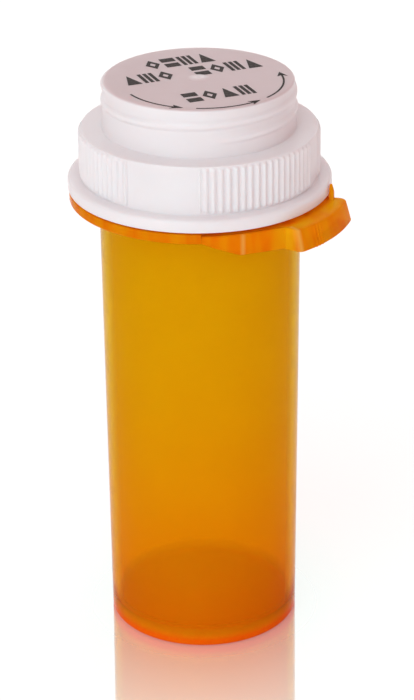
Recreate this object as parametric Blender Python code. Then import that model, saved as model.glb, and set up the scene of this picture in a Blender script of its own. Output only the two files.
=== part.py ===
"""Prescription vial: an amber container with a spring locking tab, closed by a white screw cap.

The cap's skirt screws over the neck. Turned over, its threaded boss would screw into the neck
instead. Metres, +Z up, origin at the centre of the base. Azimuths are in degrees, measured
counter-clockwise (seen from above) from the front, which is -Y, so +90 is +X.
"""

import math

import bmesh
import bpy
from mathutils import Vector

MM = 0.001
SIDES = 60  # facets round every turned surface and every turn of thread

# Container: a body that widens slightly upwards, a flat collar and a wider neck
BASE_RADIUS = 16.12 * MM
BODY_TOP_RADIUS = 16.65 * MM
BODY_WALL = 1.25 * MM
FLOOR_THICKNESS = 1.5 * MM
BASE_ROUNDING = 0.55 * MM
FLOOR_ROUNDING = 1.2 * MM
COLLAR_BOTTOM = 77.20 * MM
COLLAR_TOP = 78.82 * MM
COLLAR_RADIUS = 21.55 * MM
COLLAR_ROUNDING = 0.2 * MM
NECK_RADIUS = 17.40 * MM
NECK_BORE = 16.35 * MM
RIM_HEIGHT = 86.55 * MM
RIM_ROUNDING = 0.3 * MM
NECK_BORE_BOTTOM = COLLAR_TOP - 0.4 * MM
BODY_BORE_TOP = COLLAR_BOTTOM - 0.2 * MM

# Cap: a flange on the collar, a ribbed skirt round the neck and a hollow boss on top
FLANGE_BOTTOM = COLLAR_TOP + 0.30 * MM
FLANGE_TOP = 81.26 * MM
FLANGE_RADIUS = 21.72 * MM
FLANGE_ROUNDING = 0.6 * MM
SHOULDER_HEIGHT = 89.45 * MM
SHOULDER_ROUNDING = 0.4 * MM
SKIRT_RADIUS = 19.47 * MM
SKIRT_BORE = 18.40 * MM
CAP_PLATE = 1.30 * MM
BOSS_RADIUS = 15.58 * MM
BOSS_BORE = 14.35 * MM
BOSS_ROUNDING = 0.45 * MM
BOSS_TOP = 97.49 * MM
GATE_RADIUS = 1.0 * MM
GATE_HEIGHT = 0.2 * MM
FOOT_ROUNDING = 0.3 * MM  # where one wall of the cap meets the next
EDGE_ROUNDING = 0.2 * MM

# Grip ribs: one rib position every 3.6 degrees, in four groups with smooth panels between
RIB_STEP = 3.6
RIB_WIDTH = 0.80 * MM
RIB_HEIGHT = 0.35 * MM
RIB_SIDE = 0.10 * MM  # height of a rib's upright sides
RIB_SINK = 0.2 * MM
RIB_FULL_TOP = SHOULDER_HEIGHT - 0.7 * MM
RIB_TOP = SHOULDER_HEIGHT - 0.35 * MM
RIBS_IN_GROUP = 18
RIB_GROUP_STARTS = (0.0, 79.2, 180.0, 259.2)

# Main thread between the neck and the skirt. The skirt's ridge starts later and lower
MAIN_PITCH = 3.20 * MM
MAIN_WIDTH = 1.30 * MM
NECK_THREAD_START = 62.0
NECK_THREAD_START_HEIGHT = 81.0 * MM
NECK_THREAD_HEIGHT = 0.70 * MM
NECK_THREAD_TURNS = 1.25
SKIRT_THREAD_START = 74.0
SKIRT_THREAD_BELOW = 1.20 * MM
SKIRT_THREAD_HEIGHT = 0.65 * MM
SKIRT_THREAD_TURNS = 1.1

# Finer thread of the boss, and its match inside the neck for the cap turned over
BOSS_PITCH = 2.57 * MM
BOSS_THREAD_START = 2.0
BOSS_THREAD_START_HEIGHT = 92.25 * MM
BOSS_THREAD_HEIGHT = 0.40 * MM
BOSS_THREAD_WIDTH = 1.20 * MM
BOSS_THREAD_TURNS = 1.82
INNER_THREAD_START = 2.0
INNER_THREAD_START_HEIGHT = 80.5 * MM
INNER_THREAD_HEIGHT = 0.37 * MM
INNER_THREAD_WIDTH = 0.90 * MM
INNER_THREAD_TURNS = 1.2

# How every thread is set in its wall and runs out at its ends
THREAD_SINK = 0.25 * MM
THREAD_END_SINK = 0.1 * MM
THREAD_RUNOUT = 30.0
THREAD_END_WIDTH = 0.4  # of the full width
THREAD_CREST_WIDTH = 0.45  # of the width at its foot

# Ratchet pockets under the flange, and the pawl on the tab that they are for
POCKETS = 24
POCKET_INNER = 19.9 * MM
POCKET_OUTER = 21.1 * MM
POCKET_DEPTH = 0.6 * MM
POCKET_ANGLE = 9.0
POCKET_START = 2.0
CUT_MARGIN = 0.3 * MM  # how far a cutting tool starts outside the wall
PAWL_AZIMUTHS = (69.0, 73.0)
PAWL_CLEARANCE = 0.2 * MM
PAWL_SINK = 0.5 * MM

# Locking tab: an arm along the collar's edge that ends in a thumb pad with a tooth
TAB_GAP_START = 0.4
TAB_START = 1.3
ARM_DEEP = 17.0
ARM_STRAIGHT_START = 19.5
ARM_STRAIGHT_ANGLE = 17.4
PAD_START = 38.4
PAD_END = 76.8
TAB_GAP_END = 77.7
TAB_INNER = 19.0 * MM
TAB_GAP_INNER = 18.4 * MM
TAB_TOP = 78.45 * MM
TAB_BOTTOM = 74.85 * MM
TAB_EDGE = 0.35 * MM
PAD_TOP_RADIUS = 24.60 * MM
PAD_FOOT_RADIUS = 25.62 * MM
PAD_CORNER = 1.0 * MM
TOOTH_AZIMUTHS = (73.6, 76.6)
TOOTH_INNER = 22.05 * MM
TOOTH_OUTER = 22.80 * MM
TOOTH_TIP = 81.5 * MM
TOOTH_CROWN = 0.9 * MM
TOOTH_LEAN = 0.5 * MM
TOOTH_SHOULDER = 1.2 * MM
TOOTH_SINK = 1.0 * MM

# Sealing liner: a soft ring between the rim and the underside of the cap's plate
LINER_INNER = 15.2 * MM
LINER_OUTER = 18.05 * MM
LINER_BOTTOM = RIM_HEIGHT + 0.30 * MM
LINER_TOP = SHOULDER_HEIGHT - CAP_PLATE - 0.30 * MM

# Plastics, as linear colours
AMBER = (0.69, 0.24, 0.01)
DEEP_AMBER = (0.72, 0.17, 0.01)
WHITE = (0.86, 0.84, 0.83)
FOAM = (0.75, 0.74, 0.70)
CLEARNESS = 0.45
CREASE_ANGLE = 35


def around(azimuth, radius, z):
    """The point at an azimuth, a distance from the axis and a height."""
    angle = math.radians(azimuth)
    return Vector((radius * math.sin(angle), -radius * math.cos(angle), z))


def rounded(corners, steps=2):
    """Turn (radius, z, rounding) corners into a polyline, with each rounding as an arc."""
    points = []
    for i, (r, z, rounding) in enumerate(corners):
        corner = Vector((r, z))
        if not rounding:
            points.append(corner)
            continue
        before = (Vector(corners[i - 1][:2]) - corner).normalized()
        after = (Vector(corners[(i + 1) % len(corners)][:2]) - corner).normalized()
        half = before.angle(after) / 2
        centre = corner + (before + after).normalized() * rounding / math.sin(half)
        first = corner + before * rounding / math.tan(half) - centre
        sweep = first.angle_signed(corner + after * rounding / math.tan(half) - centre)
        start = math.atan2(first.y, first.x)
        for k in range(steps + 1):
            angle = start - sweep * k / steps
            points.append(centre + rounding * Vector((math.cos(angle), math.sin(angle))))
    return points


def new_mesh(name, bm):
    """Make an object of a bmesh, with its faces pointing out."""
    bmesh.ops.recalc_face_normals(bm, faces=bm.faces)
    mesh = bpy.data.meshes.new(name)
    bm.to_mesh(mesh)
    bm.free()
    made = bpy.data.objects.new(name, mesh)
    bpy.context.collection.objects.link(made)
    return made


def turned(name, corners, closed=False):
    """Spin an outline about +Z. An open outline starts and ends on the axis."""
    bm = bmesh.new()
    verts = [bm.verts.new((p.x, 0, p.y)) for p in rounded(corners)]
    for a, b in zip(verts, verts[1:]):
        bm.edges.new((a, b))
    if closed:
        bm.edges.new((verts[-1], verts[0]))
    bmesh.ops.spin(
        bm, geom=bm.verts[:] + bm.edges[:], cent=(0, 0, 0), axis=(0, 0, 1),
        angle=math.tau, steps=SIDES, use_merge=True,
    )
    bmesh.ops.remove_doubles(bm, verts=bm.verts, dist=0.00001)
    return new_mesh(name, bm)


def loft(bm, sections):
    """Skin a row of equal point loops, and close both ends."""
    rings = [[bm.verts.new(point) for point in section] for section in sections]
    for a, b in zip(rings, rings[1:]):
        for i in range(len(a)):
            j = (i + 1) % len(a)
            bm.faces.new((a[i], a[j], b[j], b[i]))
    bm.faces.new(rings[0][::-1])
    bm.faces.new(rings[-1])


def lofts(name, many_sections):
    """One object of several separate lofted solids."""
    bm = bmesh.new()
    for sections in many_sections:
        loft(bm, sections)
    return new_mesh(name, bm)


def sector(azimuths, radii, heights, end_heights=None, step=6.0):
    """Sections of a block that bends about the axis. end_heights are those at its far end."""
    count = max(1, round((azimuths[1] - azimuths[0]) / step))
    sections = []
    for k in range(count + 1):
        t = k / count
        azimuth = azimuths[0] + t * (azimuths[1] - azimuths[0])
        low, high = Vector(heights).lerp(Vector(end_heights or heights), t)
        corners = ((radii[0], low), (radii[1], low), (radii[1], high), (radii[0], high))
        sections.append([around(azimuth, r, z) for r, z in corners])
    return sections


def combine(target, tool, operation):
    """Join a tool to a solid, or cut it away, and hide the tool."""
    modifier = target.modifiers.new(tool.name, "BOOLEAN")
    modifier.operation = operation
    modifier.solver = "EXACT"
    modifier.object = tool
    tool.hide_render = True
    tool.display_type = "WIRE"


def thread(name, wall, height, pitch, start, start_height, turns, width, inward=False):
    """A helical ridge on a round wall, its foot sunk in and its ends running out flush."""
    side = -1 if inward else 1
    steps = round(turns * SIDES)
    sections = []
    for k in range(steps + 1):
        turned_by = k * 360 / SIDES
        to_end = min(turned_by, steps * 360 / SIDES - turned_by)
        grown = min(1, to_end / THREAD_RUNOUT)
        rise = height * grown - THREAD_END_SINK * (1 - grown)
        centre = start_height + pitch * turned_by / 360
        foot = wall - side * THREAD_SINK
        crest = wall + side * rise
        half = width / 2 * (THREAD_END_WIDTH + (1 - THREAD_END_WIDTH) * grown)
        crest_half = half * THREAD_CREST_WIDTH
        corners = (
            (foot, centre - half),
            (crest, centre - crest_half),
            (crest, centre + crest_half),
            (foot, centre + half),
        )
        sections.append([around(start + turned_by, r, z) for r, z in corners])
    return lofts(name, [sections])


def finish(made, colour, roughness, clearness=0.0):
    """Shade a solid smooth and give it its plastic."""
    material = bpy.data.materials.new(made.name + "_plastic")
    material.use_nodes = True
    shader = material.node_tree.nodes["Principled BSDF"]
    shader.inputs["Base Color"].default_value = (*colour, 1)
    shader.inputs["Roughness"].default_value = roughness
    shader.inputs["Metallic"].default_value = 0
    shader.inputs["Transmission Weight"].default_value = clearness
    made.data.materials.append(material)
    made.data.shade_smooth()
    made.data.set_sharp_from_angle(angle=math.radians(CREASE_ANGLE))


def make_vial():
    """Body, collar and neck: one moulding, with a cut-out in the collar for the tab."""
    bore_top = BODY_TOP_RADIUS - BODY_WALL
    bore_bottom = BASE_RADIUS - BODY_WALL
    vial = turned(
        "vial",
        [
            (0, 0, 0),
            (BASE_RADIUS, 0, BASE_ROUNDING),
            (BODY_TOP_RADIUS, COLLAR_BOTTOM, 0),
            (COLLAR_RADIUS, COLLAR_BOTTOM, COLLAR_ROUNDING),
            (COLLAR_RADIUS, COLLAR_TOP, COLLAR_ROUNDING),
            (NECK_RADIUS, COLLAR_TOP, 0),
            (NECK_RADIUS, RIM_HEIGHT, RIM_ROUNDING),
            (NECK_BORE, RIM_HEIGHT, RIM_ROUNDING),
            (NECK_BORE, NECK_BORE_BOTTOM, 0),
            (bore_top, BODY_BORE_TOP, 0),
            (bore_bottom, FLOOR_THICKNESS, FLOOR_ROUNDING),
            (0, FLOOR_THICKNESS, 0),
        ],
    )
    combine(
        vial,
        thread("neck_thread", NECK_RADIUS, NECK_THREAD_HEIGHT, MAIN_PITCH, NECK_THREAD_START,
               NECK_THREAD_START_HEIGHT, NECK_THREAD_TURNS, MAIN_WIDTH),
        "UNION",
    )
    combine(
        vial,
        thread("inner_thread", NECK_BORE, INNER_THREAD_HEIGHT, BOSS_PITCH, INNER_THREAD_START,
               INNER_THREAD_START_HEIGHT, INNER_THREAD_TURNS, INNER_THREAD_WIDTH, inward=True),
        "UNION",
    )
    gap = sector(
        (TAB_GAP_START, TAB_GAP_END),
        (TAB_GAP_INNER, COLLAR_RADIUS + CUT_MARGIN),
        (COLLAR_BOTTOM - CUT_MARGIN, COLLAR_TOP + CUT_MARGIN),
    )
    combine(vial, lofts("tab_cut_out", [gap]), "DIFFERENCE")
    finish(vial, AMBER, 0.22, CLEARNESS)
    return vial


def make_ribs():
    """Grip ribs: short upright bars with a rounded front, their backs sunk in the skirt."""
    half = math.degrees(RIB_WIDTH / 2 / SKIRT_RADIUS)
    plan = ((-half, -RIB_SINK), (half, -RIB_SINK), (half, RIB_SIDE), (half / 2, RIB_HEIGHT),
            (-half / 2, RIB_HEIGHT), (-half, RIB_SIDE))
    sunk_plan = [(a, min(out, 0) - RIB_SINK / 2) for a, out in plan]
    levels = ((plan, FLANGE_TOP - RIB_SINK), (plan, RIB_FULL_TOP), (sunk_plan, RIB_TOP))
    bars = []
    for group in RIB_GROUP_STARTS:
        for i in range(RIBS_IN_GROUP):
            centre = group + (i + 0.75) * RIB_STEP
            bars.append([[around(centre + a, SKIRT_RADIUS + out, z) for a, out in outline]
                         for outline, z in levels])
    return lofts("grip_ribs", bars)


def make_cap():
    """Flange, skirt and boss: one moulding, hollow from below."""
    cap = turned(
        "cap",
        [
            (0, BOSS_TOP + GATE_HEIGHT, 0),
            (GATE_RADIUS, BOSS_TOP + GATE_HEIGHT, 0),
            (GATE_RADIUS + GATE_HEIGHT, BOSS_TOP, 0),
            (BOSS_RADIUS, BOSS_TOP, BOSS_ROUNDING),
            (BOSS_RADIUS, SHOULDER_HEIGHT, FOOT_ROUNDING),
            (SKIRT_RADIUS, SHOULDER_HEIGHT, SHOULDER_ROUNDING),
            (SKIRT_RADIUS, FLANGE_TOP, FOOT_ROUNDING),
            (FLANGE_RADIUS, FLANGE_TOP, FLANGE_ROUNDING),
            (FLANGE_RADIUS, FLANGE_BOTTOM, EDGE_ROUNDING),
            (SKIRT_BORE, FLANGE_BOTTOM, FOOT_ROUNDING),
            (SKIRT_BORE, SHOULDER_HEIGHT - CAP_PLATE, 0),
            (BOSS_BORE, SHOULDER_HEIGHT - CAP_PLATE, 0),
            (BOSS_BORE, BOSS_TOP - CAP_PLATE, BOSS_ROUNDING),
            (0, BOSS_TOP - CAP_PLATE, 0),
        ],
    )
    combine(
        cap,
        thread("boss_thread", BOSS_RADIUS, BOSS_THREAD_HEIGHT, BOSS_PITCH, BOSS_THREAD_START,
               BOSS_THREAD_START_HEIGHT, BOSS_THREAD_TURNS, BOSS_THREAD_WIDTH),
        "UNION",
    )
    climbed = MAIN_PITCH * (SKIRT_THREAD_START - NECK_THREAD_START) / 360
    combine(
        cap,
        thread("skirt_thread", SKIRT_BORE, SKIRT_THREAD_HEIGHT, MAIN_PITCH, SKIRT_THREAD_START,
               NECK_THREAD_START_HEIGHT + climbed - SKIRT_THREAD_BELOW, SKIRT_THREAD_TURNS,
               MAIN_WIDTH, inward=True),
        "UNION",
    )
    combine(cap, make_ribs(), "UNION")
    pockets = []
    for i in range(POCKETS):
        start = POCKET_START + i * 360 / POCKETS
        pockets.append(sector(
            (start, start + POCKET_ANGLE),
            (POCKET_INNER, POCKET_OUTER),
            (FLANGE_BOTTOM - CUT_MARGIN, FLANGE_BOTTOM + POCKET_DEPTH / 12),
            (FLANGE_BOTTOM - CUT_MARGIN, FLANGE_BOTTOM + POCKET_DEPTH),
            step=POCKET_ANGLE,
        ))
    combine(cap, lofts("ratchet_pockets", pockets), "DIFFERENCE")
    finish(cap, WHITE, 0.30)
    return cap


def tab_section(azimuth, foot_radius, top_radius, bottom, top):
    """A slice of the tab: an upright inner face, and an outer face that leans out downwards."""
    corners = (
        (TAB_INNER, bottom),
        (foot_radius, bottom),
        (top_radius, top - TAB_EDGE),
        (top_radius - TAB_EDGE, top),
        (TAB_INNER, top),
    )
    return [around(azimuth, r, z) for r, z in corners]


def arm_slices():
    """Slices of the arm: round with the collar while it deepens, then straight, like a tangent."""
    deepening = [
        (TAB_START, COLLAR_RADIUS, COLLAR_BOTTOM),
        (ARM_DEEP / 2, COLLAR_RADIUS, (COLLAR_BOTTOM + TAB_BOTTOM) / 2),
        (ARM_DEEP, COLLAR_RADIUS, TAB_BOTTOM),
    ]
    straight = []
    for k in range(5):
        beyond = ARM_STRAIGHT_ANGLE * k / 4
        radius = COLLAR_RADIUS / math.cos(math.radians(beyond))
        straight.append((ARM_STRAIGHT_START + beyond, radius, TAB_BOTTOM))
    return [tab_section(azimuth, radius, radius, low, TAB_TOP)
            for azimuth, radius, low in deepening + straight]


def pad_slices():
    """Slices of the thumb pad, whose two upright corners are rounded."""
    turn = math.degrees(PAD_CORNER / PAD_FOOT_RADIUS)
    places = []
    for k in range(4):
        angle = math.radians(30 * k)
        places.append((PAD_START + turn * (1 - math.cos(angle)), 1 - math.sin(angle)))
    length = PAD_END - PAD_START - 2 * turn
    for k in range(1, 7):
        places.append((PAD_START + turn + length * k / 6, 0))
    for k in range(1, 4):
        angle = math.radians(30 * k)
        places.append((PAD_END - turn * (1 - math.sin(angle)), 1 - math.cos(angle)))
    return [
        tab_section(azimuth, PAD_FOOT_RADIUS - PAD_CORNER * inset,
                    PAD_TOP_RADIUS - PAD_CORNER * inset, TAB_BOTTOM, TAB_TOP)
        for azimuth, inset in places
    ]


def make_locking_tab():
    """Arm, thumb pad, tooth and pawl: one spring that turns about the arm's root."""
    tab = lofts("locking_tab", [arm_slices() + pad_slices()])

    first, last = TOOTH_AZIMUTHS
    tooth = []
    for k in range(7):
        t = k / 6
        top = TOOTH_TIP - TOOTH_CROWN * (1 - math.sin(math.pi * t))
        corners = (
            (TOOTH_INNER, TAB_TOP - TOOTH_SINK),
            (TOOTH_OUTER, TAB_TOP - TOOTH_SINK),
            (TOOTH_OUTER, top - TOOTH_SHOULDER),
            (TOOTH_OUTER - TOOTH_LEAN, top),
            (TOOTH_INNER, top),
        )
        azimuth = first + t * (last - first)
        tooth.append([around(azimuth, r, z) for r, z in corners])
    pawl = sector(
        PAWL_AZIMUTHS,
        (POCKET_INNER + PAWL_CLEARANCE, POCKET_OUTER - PAWL_CLEARANCE),
        (TAB_TOP - PAWL_SINK, TAB_TOP + PAWL_SINK / 25),
        (TAB_TOP - PAWL_SINK, COLLAR_TOP),
        step=PAWL_AZIMUTHS[1] - PAWL_AZIMUTHS[0],
    )
    combine(tab, lofts("tooth", [tooth]), "UNION")
    combine(tab, lofts("pawl", [pawl]), "UNION")
    finish(tab, DEEP_AMBER, 0.25, CLEARNESS)
    move_origin(tab, around(TAB_START, TAB_INNER, (COLLAR_BOTTOM + COLLAR_TOP) / 2))
    return tab


def move_origin(made, point):
    """Put an object's origin on its joint's axis without moving its shape."""
    for vertex in made.data.vertices:
        vertex.co -= point
    made.location = point


def make_liner():
    """A flat soft ring that seals the rim."""
    liner = turned(
        "sealing_liner",
        [
            (LINER_INNER, LINER_BOTTOM, 0),
            (LINER_OUTER, LINER_BOTTOM, 0),
            (LINER_OUTER, LINER_TOP, 0),
            (LINER_INNER, LINER_TOP, 0),
        ],
        closed=True,
    )
    finish(liner, FOAM, 0.6)
    return liner


def main():
    for old in list(bpy.data.objects):
        bpy.data.objects.remove(old, do_unlink=True)
    make_vial()
    make_locking_tab()
    make_liner()
    make_cap()


main()
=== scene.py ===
"""Looks for the prescription vial: clear amber and white moulded plastic, and the printed marks.

Everything is in metres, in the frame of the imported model: +Z up, the base on z = 0. Azimuths are
in degrees, counter-clockwise (seen from above) from the front, which is -Y, so +90 is +X.
"""
import math

import bmesh
import bpy
from mathutils import Euler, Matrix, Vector


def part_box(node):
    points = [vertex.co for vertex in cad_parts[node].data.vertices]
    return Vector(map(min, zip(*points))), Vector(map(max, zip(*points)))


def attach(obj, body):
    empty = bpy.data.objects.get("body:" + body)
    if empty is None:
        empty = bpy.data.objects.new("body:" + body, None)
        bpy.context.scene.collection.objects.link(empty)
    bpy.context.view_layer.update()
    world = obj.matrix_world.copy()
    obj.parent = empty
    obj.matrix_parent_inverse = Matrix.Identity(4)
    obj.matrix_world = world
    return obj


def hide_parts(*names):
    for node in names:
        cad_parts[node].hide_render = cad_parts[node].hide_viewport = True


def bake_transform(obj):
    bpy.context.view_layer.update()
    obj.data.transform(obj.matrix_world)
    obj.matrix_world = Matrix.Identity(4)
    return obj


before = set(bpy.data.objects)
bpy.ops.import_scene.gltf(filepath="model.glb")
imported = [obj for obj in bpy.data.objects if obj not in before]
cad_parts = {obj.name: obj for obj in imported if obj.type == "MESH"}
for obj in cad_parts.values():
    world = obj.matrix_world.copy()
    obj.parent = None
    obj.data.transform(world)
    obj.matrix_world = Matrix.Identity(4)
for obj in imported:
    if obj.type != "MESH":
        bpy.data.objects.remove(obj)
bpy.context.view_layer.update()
vial_low, vial_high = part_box("vial")
cap_low, cap_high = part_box("cap")
tab_low, tab_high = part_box("locking_tab")
liner_low, liner_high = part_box("sealing_liner")

MM = 0.001

# Sizes read from the frame
RIM_HEIGHT = vial_high.z
COLLAR_RADIUS = -vial_low.x
FLANGE_BOTTOM = cap_low.z
FLANGE_RADIUS = cap_high.x
TAB_BOTTOM = tab_low.z

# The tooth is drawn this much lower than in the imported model.
TOOTH_DROP = 0.40 * MM
TOOTH_TIP = tab_high.z - TOOTH_DROP

# Edges sharper than this stay sharp in the smooth shading
CREASE_ANGLE = math.radians(35)

# Container
BASE_RADIUS = 16.12 * MM
BODY_TOP_RADIUS = 16.65 * MM
BODY_WALL = 1.25 * MM
FLOOR_THICKNESS = 1.5 * MM
BASE_ROUNDING = 0.55 * MM
BASE_RECESS_RADIUS = 12.6 * MM
BASE_RECESS = 0.4 * MM
COLLAR_BOTTOM = 77.20 * MM
COLLAR_TOP = FLANGE_BOTTOM - 0.30 * MM
NECK_RADIUS = 17.40 * MM
NECK_BORE = 16.35 * MM
GATE_MARK_FOOT = 2.2 * MM
GATE_MARK_TOP = 1.7 * MM
GATE_MARK_HEIGHT = 0.25 * MM

# Cap
FLANGE_TOP = 81.26 * MM
SHOULDER_HEIGHT = 89.45 * MM
SKIRT_RADIUS = 19.47 * MM
SKIRT_BORE = 18.40 * MM
CAP_PLATE = 1.30 * MM
BOSS_RADIUS = 15.58 * MM
BOSS_BORE = 14.35 * MM
GATE_RADIUS = 1.0 * MM
GATE_HEIGHT = 0.2 * MM
BOSS_TOP = cap_high.z - GATE_HEIGHT
LINER_WIDTH = 2.85 * MM

# Grip ribs, in four groups with smooth panels between
RIB_STEP = 3.6
RIB_PLACE_IN_STEP = 0.75
RIB_HALF_ANGLE = 1.35
RIB_HEIGHT = 0.36 * MM
RIBS_IN_GROUP = 18
RIB_GROUP_STARTS = (0.0, 79.2, 180.0, 259.2)
RIB_BOTTOM = FLANGE_TOP + 0.30 * MM
RIB_TOP = SHOULDER_HEIGHT - 0.30 * MM
RIB_FOOT_ROUNDING = 0.35 * MM
RIB_FOOT_FADE = 0.2 * MM
RIB_TOP_FADE = 0.3 * MM

# Locking tab
TAB_GAP_START = 0.4
TAB_START = 0.45
TAB_GAP_END = 77.7
TAB_GAP_INNER = 18.4 * MM
ARM_DEEP = 17.0
ARM_STRAIGHT_START = 19.5
ARM_STRAIGHT_ANGLE = 17.4
PAD_START = 38.4
PAD_END = 76.8
PAD_CORNER = 1.0 * MM
TAB_INNER = 19.0 * MM
TAB_TOP = 78.45 * MM
PAD_TOP_RADIUS = 24.60 * MM
PAD_FOOT_RADIUS = 25.62 * MM
TOOTH_AZIMUTHS = (73.6, 76.6)
TOOTH_INNER = 21.86 * MM
TOOTH_OUTER = 22.58 * MM
PAWL_AZIMUTHS = (69.0, 73.0)
PAWL_INNER = 20.1 * MM
PAWL_OUTER = 20.9 * MM
TAB_EDGE = 0.35 * MM
GRIP_RIDGES = (47.2, 48.8, 50.4)
GRIP_RIDGE_HALF_ANGLE = 0.5
GRIP_RIDGE_HEIGHT = 0.14 * MM
ARM_STEPS = 24
PAD_STEPS = 96
PAD_CORNER_STEPS = 8

# Printed marks: turned with the cap, on the flat top of the boss. A sign is drawn in a box
# from -1 to 1 each way. A row is its place across the lines, its height and its signs.
PRINT_TURN = math.radians(22)
INK_LIFT = 0.004 * MM
INK_THICKNESS = 0.03 * MM
DIAMOND = ((1, 0), (0, 1), (-1, 0), (0, -1))
DIAMOND_HOLE = 0.42
PILLAR_SPANS = ((-1.0, -0.52), (-0.24, 0.24), (0.52, 1.0))
BLOCK_SPANS = ((-1, -0.2), (0.2, 1))
SIGN_CELL = 3.02 * MM
SIGN_HALF_WIDTH = 0.41 * SIGN_CELL
SIGN_ROWS = (
    (8.85 * MM, 4.3 * MM, ("diamond", "blocks", "pillars", "wedge")),
    (3.10 * MM, 4.3 * MM, ("wedge", "pillars", "diamond", None,
                           "blocks", "diamond", "pillars", "wedge")),
    (-8.40 * MM, 4.2 * MM, ("blocks", "diamond", "wedge", "pillars")),
)

# Arrows: their ends along a circle that lies a little off the middle of the boss
ARROW_CIRCLE = 13.05 * MM
ARROW_CIRCLE_DROP = 1.8 * MM
ARROW_SPANS = ((-84.0, -36.0), (-27.0, 22.0), (29.0, 86.0))
ARROW_LINE = 0.32 * MM
ARROW_HEAD = 9.0
ARROW_BARB = 0.85 * MM
ARROW_STEPS = 24

# Mottling of the amber plastic: how much of it is cloudy and how much is fine grain
CLOUD_SHARE = 0.6
GRAIN_SHARE = 0.9

# Colours: pairs that the mottling runs between, and two single ones on the tab, which are painted
# light: a golden glow through the thumb pad and pale highlight lines
UPPER_COLOURS = ((0.905, 0.605, 0.004), (0.880, 0.555, 0.003))
LOWER_COLOURS = ((1.000, 0.400, 0.004), (0.970, 0.345, 0.003))
FOOT_COLOURS = ((1.000, 0.160, 0.003), (1.000, 0.120, 0.002))
DISC_COLOURS = ((1.000, 0.120, 0.002), (1.000, 0.070, 0.001))
COLLAR_COLOURS = ((1.000, 0.350, 0.003), (0.985, 0.225, 0.002))
CAP_COLOURS = ((0.880, 0.830, 0.845), (0.860, 0.805, 0.820))
# The cap top's colours are painted shade: the flat top of the boss, only grazed by the light from
# the front, drawn darker and pinker
CAP_TOP_SHADE_COLOURS = ((0.720, 0.585, 0.595), (0.695, 0.560, 0.570))
FOAM_COLOURS = ((0.76, 0.74, 0.70), (0.70, 0.68, 0.64))
INK_COLOURS = ((0.016, 0.008, 0.006), (0.040, 0.024, 0.018))
# Painted light on the tab: golden for light coming up through the thumb pad, pale for highlights
# on its rounded upright corners
PAD_LIGHT_COLOUR = (0.960, 0.500, 0.006)
GLINT_COLOUR = (1.000, 0.680, 0.160)

# Roughness runs between two values. The white plastic's stays above 0.28: where it drops
# below, the render's noise filter leaves dark specks.
AMBER_ROUGHNESS = (0.10, 0.18)
WHITE_ROUGHNESS = (0.30, 0.37)
FOAM_ROUGHNESS = (0.7, 0.9)
INK_ROUGHNESS = (0.45, 0.65)

# How much light goes through the amber plastic. The floor's is a share of the wall's.
WALL_CLEARNESS = 0.72
COLLAR_CLEARNESS = 0.34
FLOOR_CLEARNESS = 0.25

# Where one colour gives way to the next: radii or heights, start and end
COLLAR_FADE = (16.9 * MM, 18.6 * MM)
DISC_EDGE_FADE = (BASE_RADIUS - 1.5 * MM, BASE_RADIUS - 0.9 * MM)
DISC_FADE = (2.2 * MM, 3.4 * MM)
FOOT_FADE = (1.1 * MM, 3.6 * MM)
WALL_FADE = (2 * MM, 70 * MM)
WALL_FADE_POWER = 2.5
PAD_INNER_FADE = (FLANGE_RADIUS, 22.7 * MM)
PAD_OUTER_FADE = (23.6 * MM, PAD_TOP_RADIUS)
# Painted shade on the cap top: the heights where it comes in below the top, and the radii where it
# gives way round the gate mark
TOP_SHADE_FADE = (BOSS_TOP - 0.35 * MM, BOSS_TOP - 0.10 * MM)
TOP_SHADE_GATE_FADE = (0.6 * MM, 1.9 * MM)

# Painted highlights: pale upright lines on the tab where its rounded corners catch light. Azimuth,
# half width in degrees and the radius they start at
GLINT_STRENGTH = 0.5
PAINTED_GLINT_LINES = ((ARM_DEEP + 1.2, 1.5, 21.2 * MM), (PAD_START + 1.0, 1.2, 22.4 * MM))

# Surroundings. The backdrop comes in where a direction points this far back, from 0 to 1, and
# goes out where it points this far up. The mirror's tints and shares are near and far ones: close
# to the vial the mirror is stronger and tinted, a painted shade round the foot that also makes the
# vial's reflection there less red.
ROOM_COLOUR = (0.49, 0.32, 0.31)
BACKDROP_COLOUR = (1.04, 1.04, 1.04)
BACKDROP_SIDES = (0.50, 0.80)
BACKDROP_TOP = (0.62, 0.80)
GLOW_AZIMUTH = -22.0
GLOW_RISE = 32.0
GLOW_FALLOFF = 7.0
GLOW_COLOUR = (1.78, 2.46, 2.52)
FLOOR_DROP = 0.02 * MM
FLOOR_MATT = (0.8, 0.8, 0.8, 1)
FLOOR_GLOW = 0.5
MIRROR_ROUGHNESS = 0.02
MIRROR_FADE = (BASE_RADIUS, 46 * MM)
MIRROR_FOOT_SHADE_TINTS = ((0.90, 0.985, 0.96), (1, 1, 1))
MIRROR_SHARES = (0.76, 0.40)

# Camera: its place, then how far it looks down, turns and leans, in degrees
CAMERA_PLACE = (0, -0.39924, 0.23588)
CAMERA_DIP = 25.11
CAMERA_YAW = -0.133
CAMERA_ROLL = -0.542
CAMERA_LENS = 133.5
CAMERA_SENSOR = 36.0


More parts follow.
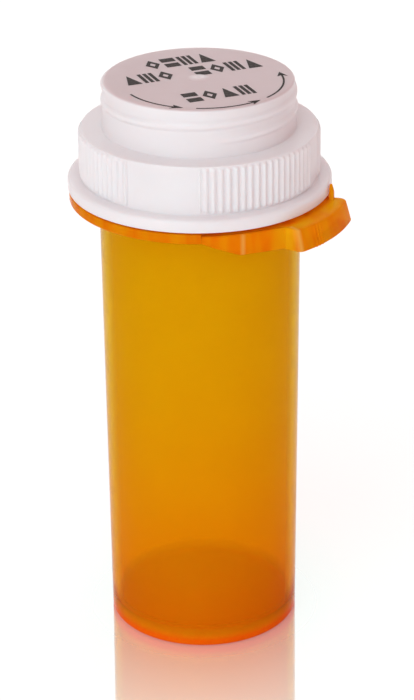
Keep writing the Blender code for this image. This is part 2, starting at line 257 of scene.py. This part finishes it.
class Thread:
    """A helical ridge on a round wall, described by where it starts and how it climbs."""

    # Degrees over which each end dies away
    RUN_OUT = 30

    def __init__(self, height, pitch, start, start_height, turns, width):
        self.height, self.pitch = height, pitch
        self.start, self.start_height = start, start_height
        self.turn_angle, self.half = turns * 360, width / 2

    def rise(self, azimuth, z):
        """How far the ridge stands off its wall at a place on it."""
        first = (azimuth - self.start) % 360
        best = 0.0
        for turn in range(int(self.turn_angle // 360) + 1):
            turned_by = first + 360 * turn
            if turned_by > self.turn_angle:
                break
            away = abs(z - self.start_height - self.pitch * turned_by / 360) / self.half
            ends = min(turned_by, self.turn_angle - turned_by) / self.RUN_OUT
            best = max(best, self.height * smooth(1.3 * (1 - away)) * smooth(ends))
        return best


def smooth(t):
    """Ease from 0 to 1 between t = 0 and t = 1."""
    t = min(1.0, max(0.0, t))
    return t * t * (3 - 2 * t)


MAIN_PITCH = 3.20 * MM
BOSS_PITCH = 2.57 * MM
NECK_THREAD = Thread(0.70 * MM, MAIN_PITCH, 62.0, 81.0 * MM, 1.25, 1.3 * MM)
INNER_THREAD = Thread(0.37 * MM, BOSS_PITCH, 2.0, 80.5 * MM, 1.2, 0.9 * MM)
SKIRT_THREAD = Thread(0.65 * MM, MAIN_PITCH, 74.0, 79.907 * MM, 1.1, 1.3 * MM)
BOSS_THREAD = Thread(0.34 * MM, BOSS_PITCH, 2.0, 92.25 * MM, 1.82, 1.7 * MM)


def around(azimuth, radius, z):
    """The point at an azimuth, a distance from the axis and a height."""
    angle = math.radians(azimuth)
    return Vector((radius * math.sin(angle), -radius * math.cos(angle), z))


def rounded(corners, steps=5):
    """(radius, z, rounding, spacing) corners to a polyline: arcs at the corners, and points
    no further apart than spacing on the stretch that follows one."""
    pieces = []
    count = len(corners)
    for i, (r, z, rounding, spacing) in enumerate(corners):
        corner = Vector((r, z))
        arc = [corner]
        if rounding:
            before = (Vector(corners[i - 1][:2]) - corner).normalized()
            after = (Vector(corners[(i + 1) % count][:2]) - corner).normalized()
            half = before.angle(after) / 2
            centre = corner + (before + after).normalized() * rounding / math.sin(half)
            reach = rounding / math.tan(half)
            first = corner + before * reach - centre
            sweep = first.angle_signed(corner + after * reach - centre)
            start = math.atan2(first.y, first.x)
            turns = [start - sweep * k / steps for k in range(steps + 1)]
            arc = [centre + rounding * Vector((math.cos(t), math.sin(t))) for t in turns]
        pieces.append((arc, spacing))
    points = []
    for i, (arc, spacing) in enumerate(pieces):
        points += arc
        if spacing:
            end = pieces[(i + 1) % count][0][0]
            count_between = int((end - arc[-1]).length / spacing)
            for k in range(1, count_between + 1):
                points.append(arc[-1].lerp(end, k / (count_between + 1)))
    return points


def new_piece(name, bm):
    """Make a smooth-shaded object of a bmesh, with its faces pointing out."""
    bmesh.ops.recalc_face_normals(bm, faces=bm.faces)
    mesh = bpy.data.meshes.new(name)
    bm.to_mesh(mesh)
    bm.free()
    mesh.shade_smooth()
    mesh.set_sharp_from_angle(angle=CREASE_ANGLE)
    piece = bpy.data.objects.new(name, mesh)
    bpy.context.scene.collection.objects.link(piece)
    return piece


def turned(name, outline, azimuths, shape, closed=False):
    """Turn an outline about +Z. shape gives the radius at an azimuth for a point of the outline.
    A point on the axis becomes one pole."""
    bm = bmesh.new()
    rings = []
    for r, z in outline:
        if r < 1e-9:
            rings.append([bm.verts.new((0, 0, z))])
            continue
        rings.append([bm.verts.new(around(a, shape(a, r, z), z)) for a in azimuths])
    pairs = list(zip(rings, rings[1:])) + ([(rings[-1], rings[0])] if closed else [])
    for lower, upper in pairs:
        for i in range(len(azimuths)):
            j = (i + 1) % len(azimuths)
            if len(lower) == 1:
                bm.faces.new((lower[0], upper[j], upper[i]))
            elif len(upper) == 1:
                bm.faces.new((lower[i], lower[j], upper[0]))
            else:
                bm.faces.new((lower[i], lower[j], upper[j], upper[i]))
    return new_piece(name, bm)


def lofted(name, sections):
    """Skin a row of equal point loops, and close both ends."""
    bm = bmesh.new()
    rings = [[bm.verts.new(point) for point in section] for section in sections]
    for a, b in zip(rings, rings[1:]):
        for i in range(len(a)):
            j = (i + 1) % len(a)
            bm.faces.new((a[i], a[j], b[j], b[i]))
    bm.faces.new(rings[0][::-1])
    bm.faces.new(rings[-1])
    return new_piece(name, bm)


def even_azimuths(count):
    """Azimuths all the way round, the same distance apart."""
    return [360 * i / count for i in range(count)]


def make_vial_shell():
    """Body, collar and neck, with the cut-out in the collar that the tab sits in."""
    bore_top = BODY_TOP_RADIUS - BODY_WALL
    bore_bottom = BASE_RADIUS - BODY_WALL
    fine = 0.2 * MM
    outline = rounded([
        (0, BASE_RECESS, 0, 2 * MM),
        (BASE_RECESS_RADIUS, BASE_RECESS, 0.3 * MM, 0),
        (BASE_RECESS_RADIUS + 0.6 * MM, 0, 0.3 * MM, 0),
        (BASE_RADIUS, 0, BASE_ROUNDING, 2 * MM),
        (BODY_TOP_RADIUS, COLLAR_BOTTOM, 0.3 * MM, 0),
        (COLLAR_RADIUS, COLLAR_BOTTOM, 0.25 * MM, 0),
        (COLLAR_RADIUS, COLLAR_TOP, 0.25 * MM, 0),
        (NECK_RADIUS, COLLAR_TOP, 0.2 * MM, fine),
        (NECK_RADIUS, RIM_HEIGHT, 0.35 * MM, 0),
        (NECK_BORE, RIM_HEIGHT, 0.35 * MM, fine),
        (NECK_BORE, COLLAR_TOP - 0.4 * MM, 0.3 * MM, 0),
        (bore_top, COLLAR_BOTTOM - 0.2 * MM, 0.3 * MM, 2 * MM),
        (bore_bottom, FLOOR_THICKNESS, 1.2 * MM, 2 * MM),
        (GATE_MARK_FOOT, FLOOR_THICKNESS, 0, 0),
        (GATE_MARK_TOP, FLOOR_THICKNESS + GATE_MARK_HEIGHT, 0, 0),
        (0, FLOOR_THICKNESS + GATE_MARK_HEIGHT, 0, 0),
    ])

    def shape(azimuth, r, z):
        if TAB_GAP_START <= azimuth <= TAB_GAP_END and z > COLLAR_BOTTOM - 0.1 * MM:
            r = min(r, TAB_GAP_INNER)
        if abs(r - NECK_RADIUS) < 1e-6:
            return r + NECK_THREAD.rise(azimuth, z)
        if abs(r - NECK_BORE) < 1e-6:
            return r - INNER_THREAD.rise(azimuth, z)
        return r

    edges = [TAB_GAP_START - 0.04, TAB_GAP_START, TAB_GAP_END, TAB_GAP_END + 0.04]
    azimuths = sorted(even_azimuths(240) + edges)
    shell = turned("vial_shell", outline, azimuths, shape)
    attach(shell, "vial")
    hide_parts("vial")
    return shell


def rib_rise(azimuth, z):
    """How far a grip rib stands off the skirt. Its lower end is round and both ends fade."""
    for group in RIB_GROUP_STARTS:
        place = ((azimuth - group) % 360) / RIB_STEP
        if place >= RIBS_IN_GROUP:
            continue
        across = abs(place % 1 - RIB_PLACE_IN_STEP)
        across = min(across, abs(place % 1 + 1 - RIB_PLACE_IN_STEP)) * RIB_STEP / RIB_HALF_ANGLE
        across += max(0.0, 1 - (z - RIB_BOTTOM) / RIB_FOOT_ROUNDING) ** 2 * 0.5
        fade = smooth((RIB_TOP - z) / RIB_TOP_FADE) * smooth((z - RIB_BOTTOM) / RIB_FOOT_FADE)
        return RIB_HEIGHT * smooth(1.5 * (1 - across)) * fade
    return 0.0


def make_screw_cap():
    """Flange, ribbed skirt and threaded boss in one skin, hollow from below."""
    fine = 0.16 * MM
    plate_under = SHOULDER_HEIGHT - CAP_PLATE
    outline = rounded([
        (0, BOSS_TOP - 0.1 * MM, 0, 0),
        (0.45 * MM, BOSS_TOP + GATE_HEIGHT * 0.6, 0, 0),
        (GATE_RADIUS, BOSS_TOP + GATE_HEIGHT * 0.7, 0.1 * MM, 0),
        (GATE_RADIUS + 0.7 * MM, BOSS_TOP, 0.3 * MM, 2 * MM),
        (BOSS_RADIUS, BOSS_TOP, 0.45 * MM, fine),
        (BOSS_RADIUS + 0.3 * MM, SHOULDER_HEIGHT, 0.2 * MM, 0.8 * MM),
        (SKIRT_RADIUS, SHOULDER_HEIGHT, 0.2 * MM, 0.4 * MM),
        (SKIRT_RADIUS, FLANGE_TOP, 0.2 * MM, 0.5 * MM),
        (FLANGE_RADIUS, FLANGE_TOP, 0.6 * MM, 0.5 * MM),
        (FLANGE_RADIUS, FLANGE_BOTTOM, 0.25 * MM, 0.8 * MM),
        (SKIRT_BORE, FLANGE_BOTTOM, 0.3 * MM, 0.25 * MM),
        (SKIRT_BORE, plate_under, 0.2 * MM, 0.8 * MM),
        (BOSS_BORE, plate_under, 0.2 * MM, 1 * MM),
        (BOSS_BORE, BOSS_TOP - CAP_PLATE, 0.45 * MM, 2 * MM),
        (0, BOSS_TOP - CAP_PLATE, 0, 0),
    ])

    def shape(azimuth, r, z):
        if z > SHOULDER_HEIGHT + 0.5 * MM and r > BOSS_RADIUS - 1e-6:
            return r + BOSS_THREAD.rise(azimuth, z)
        if abs(r - SKIRT_RADIUS) < 1e-6:
            return r + rib_rise(azimuth, z)
        if abs(r - SKIRT_BORE) < 1e-6:
            return r - SKIRT_THREAD.rise(azimuth, z)
        return r

    cap = turned("screw_cap", outline, even_azimuths(600), shape)
    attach(cap, "cap")
    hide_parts("cap")
    return cap


def make_liner():
    """The soft sealing ring, with rounded edges."""
    inner = liner_high.x - LINER_WIDTH
    outline = rounded([
        (inner, liner_low.z, 0.2 * MM, 0.6 * MM),
        (liner_high.x, liner_low.z, 0.25 * MM, 0),
        (liner_high.x, liner_high.z, 0.25 * MM, 0.6 * MM),
        (inner, liner_high.z, 0.2 * MM, 0),
    ])
    ring = turned("liner_ring", outline, even_azimuths(180), lambda a, r, z: r, closed=True)
    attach(ring, "liner")
    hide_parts("sealing_liner")
    return ring


def tab_section(azimuth, foot_radius, top_radius, bottom):
    """A slice of the tab, with the tooth and the pawl standing on it where it has them."""
    first, last = TOOTH_AZIMUTHS
    middle, half = (first + last) / 2, (last - first) / 2
    over = max(0.0, 1 - ((azimuth - middle) / half) ** 2)
    tooth = (TOOTH_TIP - TAB_TOP) * over ** 0.35
    tooth_outer = min(TOOTH_OUTER, top_radius - TAB_EDGE - 0.05 * MM)
    tooth_inner = min(TOOTH_INNER, tooth_outer - 0.2 * MM)
    first, last = PAWL_AZIMUTHS
    along = (azimuth - first) / (last - first)
    pawl = (COLLAR_TOP - TAB_TOP) * along if 0 <= along <= 1 else 0.0
    grip = 0.0
    for ridge in GRIP_RIDGES:
        near = smooth(1 - abs(azimuth - ridge) / GRIP_RIDGE_HALF_ANGLE)
        grip = max(grip, GRIP_RIDGE_HEIGHT * near)
    corners = [
        (TAB_INNER, bottom, 0.25 * MM, 0),
        (foot_radius + grip, bottom, 0.3 * MM, 0),
        (top_radius + grip, TAB_TOP, TAB_EDGE, 0),
        (tooth_outer, TAB_TOP, 0, 0),
        (tooth_outer - 0.02 * MM, TAB_TOP + tooth * 0.55, 0, 0),
        (tooth_outer - 0.18 * MM, TAB_TOP + tooth * 0.8, 0, 0),
        (tooth_outer - 0.45 * (tooth_outer - tooth_inner), TAB_TOP + tooth, 0, 0),
        (tooth_inner + 0.02 * MM, TAB_TOP + tooth * 0.97, 0, 0),
        (tooth_inner, TAB_TOP, 0, 0),
        (PAWL_OUTER, TAB_TOP, 0, 0),
        (PAWL_OUTER - 0.02 * MM, TAB_TOP + pawl, 0, 0),
        (PAWL_INNER + 0.02 * MM, TAB_TOP + pawl, 0, 0),
        (PAWL_INNER, TAB_TOP, 0, 0),
        (TAB_INNER, TAB_TOP, 0.2 * MM, 0),
    ]
    return [around(azimuth, point.x, point.y) for point in rounded(corners, steps=3)]


def make_tab():
    """Arm, thumb pad, tooth and pawl. The arm bends where it leaves the collar."""
    sections = []
    for k in range(ARM_STEPS + 1):
        azimuth = TAB_START + (ARM_STRAIGHT_START - TAB_START) * k / ARM_STEPS
        deep = min(1.0, (azimuth - TAB_START) / (ARM_DEEP - TAB_START))
        bottom = COLLAR_BOTTOM + (TAB_BOTTOM - COLLAR_BOTTOM) * deep
        sections.append(tab_section(azimuth, COLLAR_RADIUS, COLLAR_RADIUS, bottom))
    for k in range(1, ARM_STEPS + 1):
        beyond = ARM_STRAIGHT_ANGLE * k / ARM_STEPS
        radius = COLLAR_RADIUS / math.cos(math.radians(beyond))
        sections.append(tab_section(ARM_STRAIGHT_START + beyond, radius, radius, TAB_BOTTOM))

    # The pad, with an upright round edge at each end
    turn = math.degrees(PAD_CORNER / PAD_FOOT_RADIUS)
    places = []
    for k in range(PAD_CORNER_STEPS + 1):
        angle = math.radians(90 * k / PAD_CORNER_STEPS)
        places.append((PAD_START + turn * (1 - math.cos(angle)), 1 - math.sin(angle)))
    first, last = PAD_START + turn, PAD_END - turn
    places += [(first + (last - first) * k / PAD_STEPS, 0) for k in range(1, PAD_STEPS + 1)]
    for k in range(1, PAD_CORNER_STEPS + 1):
        angle = math.radians(90 * k / PAD_CORNER_STEPS)
        places.append((PAD_END - turn * (1 - math.sin(angle)), 1 - math.cos(angle)))
    for azimuth, inset in places:
        inset *= PAD_CORNER
        sections.append(tab_section(
            azimuth, PAD_FOOT_RADIUS - inset, PAD_TOP_RADIUS - inset, TAB_BOTTOM))
    tab = lofted("locking_tab_spring", sections)
    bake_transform(tab)
    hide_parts("locking_tab")
    return tab


def on_print(x, y, lift):
    """A point of the print, given along and across its lines, on the top of the boss."""
    c, s = math.cos(PRINT_TURN), math.sin(PRINT_TURN)
    return Vector((x * c - y * s, x * s + y * c, BOSS_TOP + lift))


def ink_ring(bm, outer, inner):
    """A flat closed line between two outlines with the same number of points."""
    walls = ((outer, INK_LIFT), (outer, INK_THICKNESS), (inner, INK_THICKNESS), (inner, INK_LIFT))
    loops = [[bm.verts.new(on_print(x, y, lift)) for x, y in outline] for outline, lift in walls]
    for a, b in zip(loops, loops[1:] + loops[:1]):
        for i in range(len(a)):
            j = (i + 1) % len(a)
            bm.faces.new((a[i], a[j], b[j], b[i]))


def ink_patch(bm, outline):
    """A flat filled shape."""
    bottom = [bm.verts.new(on_print(x, y, INK_LIFT)) for x, y in outline]
    top = [bm.verts.new(on_print(x, y, INK_THICKNESS)) for x, y in outline]
    bm.faces.new(bottom)
    bm.faces.new(top)
    for i in range(len(top)):
        j = (i + 1) % len(top)
        bm.faces.new((bottom[i], bottom[j], top[j], top[i]))


def make_marks():
    """Three rows of plain geometric signs, in the places where a printed notice would be."""
    half = SIGN_HALF_WIDTH
    bm = bmesh.new()
    for y, height, row in SIGN_ROWS:
        up = height / 2
        for i, sign in enumerate(row):
            x = (i - (len(row) - 1) / 2) * SIGN_CELL
            if sign == "diamond":
                outer = [(x + half * a, y + up * b) for a, b in DIAMOND]
                inner = [(x + half * DIAMOND_HOLE * a, y + up * DIAMOND_HOLE * b)
                         for a, b in DIAMOND]
                ink_ring(bm, outer, inner)
            elif sign == "wedge":
                ink_patch(bm, [(x - half, y - up), (x + half, y - up), (x, y + up)])
            elif sign == "pillars":
                for low, high in PILLAR_SPANS:
                    ink_patch(bm, [(x + low * half, y - up), (x + high * half, y - up),
                                   (x + high * half, y + up), (x + low * half, y + up)])
            elif sign == "blocks":
                for low, high in BLOCK_SPANS:
                    ink_patch(bm, [(x - half, y + low * up), (x + half, y + low * up),
                                   (x + half, y + high * up), (x - half, y + high * up)])
    marks = new_piece("printed_signs", bm)
    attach(marks, "cap")
    return marks


def make_arrows():
    """Three thin arrows round the rim, pointing the way that opens the cap."""
    bm = bmesh.new()
    for first, last in ARROW_SPANS:
        run = last - ARROW_HEAD * 0.6 - first
        angles = [first + run * k / ARROW_STEPS for k in range(ARROW_STEPS + 1)]
        line = ([(ARROW_CIRCLE + ARROW_LINE / 2, a) for a in angles]
                + [(ARROW_CIRCLE - ARROW_LINE / 2, a) for a in angles[::-1]])
        head = [(ARROW_CIRCLE + ARROW_BARB, last - ARROW_HEAD), (ARROW_CIRCLE, last),
                (ARROW_CIRCLE - ARROW_BARB, last - ARROW_HEAD),
                (ARROW_CIRCLE, last - ARROW_HEAD * 0.75)]
        for outline in (line, head):
            points = []
            for radius, azimuth in outline:
                a = math.radians(azimuth)
                points.append((radius * math.sin(a), -radius * math.cos(a) - ARROW_CIRCLE_DROP))
            ink_patch(bm, points)
    arrows = new_piece("printed_arrows", bm)
    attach(arrows, "cap")
    return arrows


# Materials ---------------------------------------------------------------------------------

class Nodes:
    """Short names for making the nodes of a material or a world."""

    def __init__(self, tree):
        self.tree = tree
        self.coordinates = self.node("ShaderNodeTexCoord")
        self.place = self.coordinates.outputs["Object"]

    def node(self, kind, **settings):
        """Add a node, and set its properties."""
        made = self.tree.nodes.new(kind)
        for key, value in settings.items():
            setattr(made, key, value)
        return made

    def link(self, source, target):
        """Join an output to an input."""
        self.tree.links.new(source, target)

    def noise(self, scale, detail=3.0, stretch=(1, 1, 1)):
        """Cloudy variation; scale is in features per metre."""
        mapping = self.node("ShaderNodeMapping")
        mapping.inputs["Scale"].default_value = stretch
        self.link(self.place, mapping.inputs["Vector"])
        made = self.node("ShaderNodeTexNoise")
        made.inputs["Scale"].default_value = scale
        made.inputs["Detail"].default_value = detail
        self.link(mapping.outputs[0], made.inputs["Vector"])
        return made.outputs["Fac"]

    def spread(self, source, low, high, start=0.3, end=0.7):
        """Map a value between start and end to one between low and high."""
        made = self.node("ShaderNodeMapRange")
        for key, value in (("From Min", start), ("From Max", end), ("To Min", low),
                           ("To Max", high)):
            made.inputs[key].default_value = value
        self.link(source, made.inputs["Value"])
        return made.outputs["Result"]

    def mix(self, factor, first, second):
        """Blend two colours; each is a colour or another node's output."""
        made = self.node("ShaderNodeMix", data_type="RGBA")
        self.link(factor, made.inputs["Factor"])
        for socket, value in (("A", first), ("B", second)):
            target = [i for i in made.inputs if i.name == socket and i.type == "RGBA"][0]
            if isinstance(value, tuple):
                target.default_value = (*value, 1)
            else:
                self.link(value, target)
        return [o for o in made.outputs if o.type == "RGBA"][0]

    def math(self, operation, first, second=0.0):
        """Do one sum on numbers or other nodes' outputs."""
        made = self.node("ShaderNodeMath", operation=operation)
        for socket, value in zip(made.inputs, (first, second)):
            if isinstance(value, (int, float)):
                socket.default_value = value
            else:
                self.link(value, socket)
        return made.outputs[0]

    def split(self, source):
        """The x, y and z of a vector."""
        made = self.node("ShaderNodeSeparateXYZ")
        self.link(source, made.inputs[0])
        return made.outputs

    def off_axis(self, x, y):
        """The distance from the axis of the vial."""
        squares = self.math("ADD", self.math("MULTIPLY", x, x), self.math("MULTIPLY", y, y))
        return self.math("SQRT", squares)


class Plastic(Nodes):
    """A material around one Principled shader."""

    def __init__(self, name):
        self.material = bpy.data.materials.new(name)
        self.material.use_nodes = True
        super().__init__(self.material.node_tree)
        self.shader = self.tree.nodes["Principled BSDF"]

    def bump(self, *layers):
        """Stack bumps, each a (height, strength, depth)."""
        normal = None
        for height, strength, depth in layers:
            made = self.node("ShaderNodeBump")
            made.inputs["Strength"].default_value = strength
            made.inputs["Distance"].default_value = depth
            self.link(height, made.inputs["Height"])
            if normal is not None:
                self.link(normal, made.inputs["Normal"])
            normal = made.outputs["Normal"]
        self.link(normal, self.shader.inputs["Normal"])

    def set(self, **values):
        """Set inputs of the shader, with _ for each space in a name."""
        for key, value in values.items():
            self.shader.inputs[key.replace("_", " ")].default_value = value


def amber_plastic():
    """Amber polypropylene: clear but a little cloudy, deeper in colour where it is thick."""
    amber = Plastic("amber_polypropylene")
    x, y, z = amber.split(amber.place)
    radius = amber.off_axis(x, y)
    thick_collar = amber.spread(radius, 0.0, 1.0, *COLLAR_FADE)
    inside = amber.spread(radius, 1.0, 0.0, *DISC_EDGE_FADE)
    disc = amber.math("MULTIPLY", inside, amber.spread(z, 1.0, 0.0, *DISC_FADE))
    foot = amber.spread(z, 1.0, 0.0, *FOOT_FADE)
    thick_floor = amber.math("MAXIMUM", disc, foot)
    thick = amber.math("MAXIMUM", thick_collar, thick_floor)
    cloudy = amber.spread(amber.noise(90.0), 0.0, 1.0)
    grain = amber.spread(amber.noise(2200.0, 1.0), 0.0, 1.0, 0.25, 0.75)
    mottled = amber.math("ADD", amber.math("MULTIPLY", cloudy, CLOUD_SHARE),
                         amber.math("MULTIPLY", grain, GRAIN_SHARE))

    # The wall is a little deeper in colour towards the base.
    upper_colour = amber.mix(mottled, *UPPER_COLOURS)
    lower_colour = amber.mix(mottled, *LOWER_COLOURS)
    depth = amber.math("POWER", amber.spread(z, 1.0, 0.0, *WALL_FADE), WALL_FADE_POWER)
    thin_colour = amber.mix(depth, upper_colour, lower_colour)
    foot_colour = amber.mix(mottled, *FOOT_COLOURS)
    disc_colour = amber.mix(cloudy, *DISC_COLOURS)
    floor_colour = amber.mix(disc, foot_colour, disc_colour)

    # Collar and tab: deep orange, golden where light comes up through the thumb pad (painted
    # light), with pale upright lines, painted highlights where rounded corners catch light, where
    # the arm deepens and where the pad begins.
    streaks = amber.spread(amber.noise(420.0, 2.0, (1, 1, 0.25)), 0.0, 1.0, 0.35, 0.65)
    deep_colour = amber.mix(streaks, *COLLAR_COLOURS)
    pad_middle = amber.math("MULTIPLY", amber.spread(radius, 0.0, 1.0, *PAD_INNER_FADE),
                            amber.spread(radius, 1.0, 0.25, *PAD_OUTER_FADE))
    painted_pad_light = amber.math("MULTIPLY", pad_middle, amber.spread(amber.noise(260.0), 0.35, 1.0))
    collar_colour = amber.mix(painted_pad_light, deep_colour, PAD_LIGHT_COLOUR)
    azimuth = amber.math("ARCTAN2", x, amber.math("MULTIPLY", y, -1.0))
    # Painted highlights: pale lines where the tab's rounded upright corners catch light
    for centre, width, start in PAINTED_GLINT_LINES:
        away = amber.math("ABSOLUTE", amber.math("SUBTRACT", azimuth, math.radians(centre)))
        line = amber.math("MULTIPLY",
                          amber.spread(away, GLINT_STRENGTH, 0.0, 0.0, math.radians(width)),
                          amber.spread(radius, 0.0, 1.0, start, start + 0.3 * MM))
        collar_colour = amber.mix(line, collar_colour, GLINT_COLOUR)

    thick_colour = amber.mix(thick_floor, collar_colour, floor_colour)
    amber.link(amber.mix(thick, thin_colour, thick_colour), amber.shader.inputs["Base Color"])
    clearness = amber.spread(thick_collar, WALL_CLEARNESS, COLLAR_CLEARNESS, 0.0, 1.0)
    floor_share = amber.spread(thick_floor, 1.0, FLOOR_CLEARNESS, 0.0, 1.0)
    amber.link(amber.math("MULTIPLY", clearness, floor_share),
               amber.shader.inputs["Transmission Weight"])
    amber.link(amber.spread(amber.noise(260.0), *AMBER_ROUGHNESS),
               amber.shader.inputs["Roughness"])
    amber.bump((amber.noise(700.0), 0.25, 0.02 * MM), (amber.noise(60.0, 1.0), 0.3, 0.2 * MM))
    amber.set(IOR=1.08, Specular_IOR_Level=0.3, Specular_Tint=(1.0, 0.6, 0.08, 1.0))
    return amber.material


def white_plastic():
    """White polypropylene: semi-gloss, with faint flow marks. The flat top of the boss is painted
    darker and pinker, a painted shade for the light that only grazes it from the front. The gate
    mark in its middle keeps the walls' lighter colour, which stands in for the soft highlight on
    it."""
    white = Plastic("white_polypropylene")
    cloudy = white.spread(white.noise(120.0), 0.0, 1.0)
    walls = white.mix(cloudy, *CAP_COLOURS)
    top_shade_colour = white.mix(cloudy, *CAP_TOP_SHADE_COLOURS)
    x, y, z = white.split(white.place)
    # Painted shade: the flat top of the boss, except round the gate mark, takes the darker top
    # colours
    high = white.spread(z, 0.0, 1.0, *TOP_SHADE_FADE)
    shade_off_gate = white.spread(white.off_axis(x, y), 0.0, 1.0, *TOP_SHADE_GATE_FADE)
    white.link(white.mix(white.math("MULTIPLY", high, shade_off_gate), walls, top_shade_colour),
               white.shader.inputs["Base Color"])
    white.link(white.spread(white.noise(420.0), *WHITE_ROUGHNESS),
               white.shader.inputs["Roughness"])
    white.bump((white.noise(900.0, 2.0), 0.12, 0.02 * MM),
               (white.noise(160.0, 1.0, (1, 1, 0.4)), 0.3, 0.06 * MM))
    white.set(IOR=1.49, Subsurface_Weight=0.6, Subsurface_Scale=1.2 * MM)
    white.shader.inputs["Subsurface Radius"].default_value = (1.0, 0.8, 0.75)
    return white.material


def liner_foam():
    """Foamed sealing material with fine closed cells."""
    foam = Plastic("liner_foam")
    cells = foam.node("ShaderNodeTexVoronoi")
    cells.inputs["Scale"].default_value = 3200.0
    foam.link(foam.place, cells.inputs["Vector"])
    foam.link(foam.mix(foam.spread(foam.noise(500.0), 0.0, 1.0), *FOAM_COLOURS),
              foam.shader.inputs["Base Color"])
    foam.link(foam.spread(foam.noise(900.0), *FOAM_ROUGHNESS), foam.shader.inputs["Roughness"])
    foam.bump((cells.outputs["Distance"], 0.4, 0.05 * MM))
    return foam.material


def dark_ink():
    """Printed ink: dark, matt, a little uneven."""
    ink = Plastic("dark_ink")
    ink.link(ink.mix(ink.spread(ink.noise(1800.0), 0.0, 1.0), *INK_COLOURS),
             ink.shader.inputs["Base Color"])
    ink.link(ink.spread(ink.noise(2500.0), *INK_ROUGHNESS), ink.shader.inputs["Roughness"])
    ink.bump((ink.noise(4000.0), 0.2, 0.005 * MM))
    ink.set(Specular_IOR_Level=0.25)
    return ink.material


def dress(piece, material):
    """Give a piece its only material."""
    piece.data.materials.clear()
    piece.data.materials.append(material)


# Stage -------------------------------------------------------------------------------------

def make_floor():
    """A pale polished table. It mirrors what stands on it, most clearly close by, where its mirror
    is
    tinted: a painted shade round the foot that also makes the vial's reflection less red.
    """
    bm = bmesh.new()
    bmesh.ops.create_circle(bm, cap_ends=True, segments=96, radius=3.0)
    floor = new_piece("floor", bm)
    floor.location.z = -FLOOR_DROP
    material = bpy.data.materials.new("pale_floor")
    material.use_nodes = True
    material.node_tree.nodes.clear()
    nodes = Nodes(material.node_tree)
    out = nodes.node("ShaderNodeOutputMaterial")
    mirror = nodes.node("ShaderNodeBsdfGlossy")
    mirror.inputs["Roughness"].default_value = MIRROR_ROUGHNESS
    matt = nodes.node("ShaderNodeBsdfDiffuse")
    matt.inputs["Color"].default_value = FLOOR_MATT
    glow = nodes.node("ShaderNodeEmission")
    glow.inputs["Strength"].default_value = FLOOR_GLOW
    both = nodes.node("ShaderNodeAddShader")
    mix = nodes.node("ShaderNodeMixShader")
    length = nodes.node("ShaderNodeVectorMath", operation="LENGTH")
    nodes.link(nodes.place, length.inputs[0])
    away = nodes.spread(length.outputs["Value"], 0.0, 1.0, *MIRROR_FADE)
    # Painted shade: close to the vial the mirror is stronger and tinted, so the floor round the
    # foot is a little shaded and the vial's reflection less red
    nodes.link(nodes.mix(away, *MIRROR_FOOT_SHADE_TINTS), mirror.inputs["Color"])
    nodes.link(nodes.spread(away, *MIRROR_SHARES, 0.0, 1.0), mix.inputs["Fac"])
    nodes.link(matt.outputs[0], both.inputs[0])
    nodes.link(glow.outputs[0], both.inputs[1])
    nodes.link(both.outputs[0], mix.inputs[1])
    nodes.link(mirror.outputs[0], mix.inputs[2])
    nodes.link(mix.outputs[0], out.inputs[0])
    dress(floor, material)


def make_world():
    """Soft surroundings: a dim, warm room, a white backdrop behind the vial, and one very broad
    soft light in front, to the left and above."""
    world = bpy.data.worlds.new("studio")
    world.use_nodes = True
    bpy.context.scene.world = world
    nodes = Nodes(world.node_tree)
    way = nodes.coordinates.outputs["Generated"]
    y, z = nodes.split(way)[1:]
    backdrop = nodes.math("MULTIPLY", nodes.spread(y, 0.0, 1.0, *BACKDROP_SIDES),
                          nodes.spread(z, 1.0, 0.0, *BACKDROP_TOP))
    room = nodes.mix(backdrop, ROOM_COLOUR, BACKDROP_COLOUR)
    facing = nodes.node("ShaderNodeVectorMath", operation="DOT_PRODUCT")
    nodes.link(way, facing.inputs[0])
    rise = math.radians(GLOW_RISE)
    facing.inputs[1].default_value = (around(GLOW_AZIMUTH, math.cos(rise), 0)
                                      + Vector((0, 0, math.sin(rise))))
    lobe = nodes.math("POWER", nodes.math("MAXIMUM", facing.outputs["Value"], 0.0), GLOW_FALLOFF)
    glow = nodes.node("ShaderNodeVectorMath", operation="SCALE")
    glow.inputs[0].default_value = GLOW_COLOUR
    nodes.link(lobe, glow.inputs["Scale"])
    total = nodes.node("ShaderNodeVectorMath", operation="ADD")
    nodes.link(room, total.inputs[0])
    nodes.link(glow.outputs[0], total.inputs[1])
    nodes.link(total.outputs[0], nodes.tree.nodes["Background"].inputs["Color"])


def make_camera():
    """The photograph's view: a long lens, looking about 25 degrees down."""
    data = bpy.data.cameras.new("camera")
    data.lens = CAMERA_LENS
    data.sensor_width = CAMERA_SENSOR
    camera = bpy.data.objects.new("camera", data)
    camera.location = CAMERA_PLACE
    camera.rotation_euler = Euler((math.radians(90 - CAMERA_DIP), 0, math.radians(CAMERA_YAW)))
    camera.rotation_euler.rotate_axis("Z", math.radians(CAMERA_ROLL))
    bpy.context.scene.collection.objects.link(camera)
    bpy.context.scene.camera = camera


amber = amber_plastic()
white = white_plastic()
ink = dark_ink()
dress(make_vial_shell(), amber)
dress(make_tab(), amber)
dress(make_screw_cap(), white)
dress(make_liner(), liner_foam())
dress(make_marks(), ink)
dress(make_arrows(), ink)
make_floor()
make_world()
make_camera()
bpy.context.scene.view_settings.view_transform = "Standard"
bpy.context.scene.cycles.transmission_bounces = 16
bpy.context.scene.cycles.max_bounces = 20
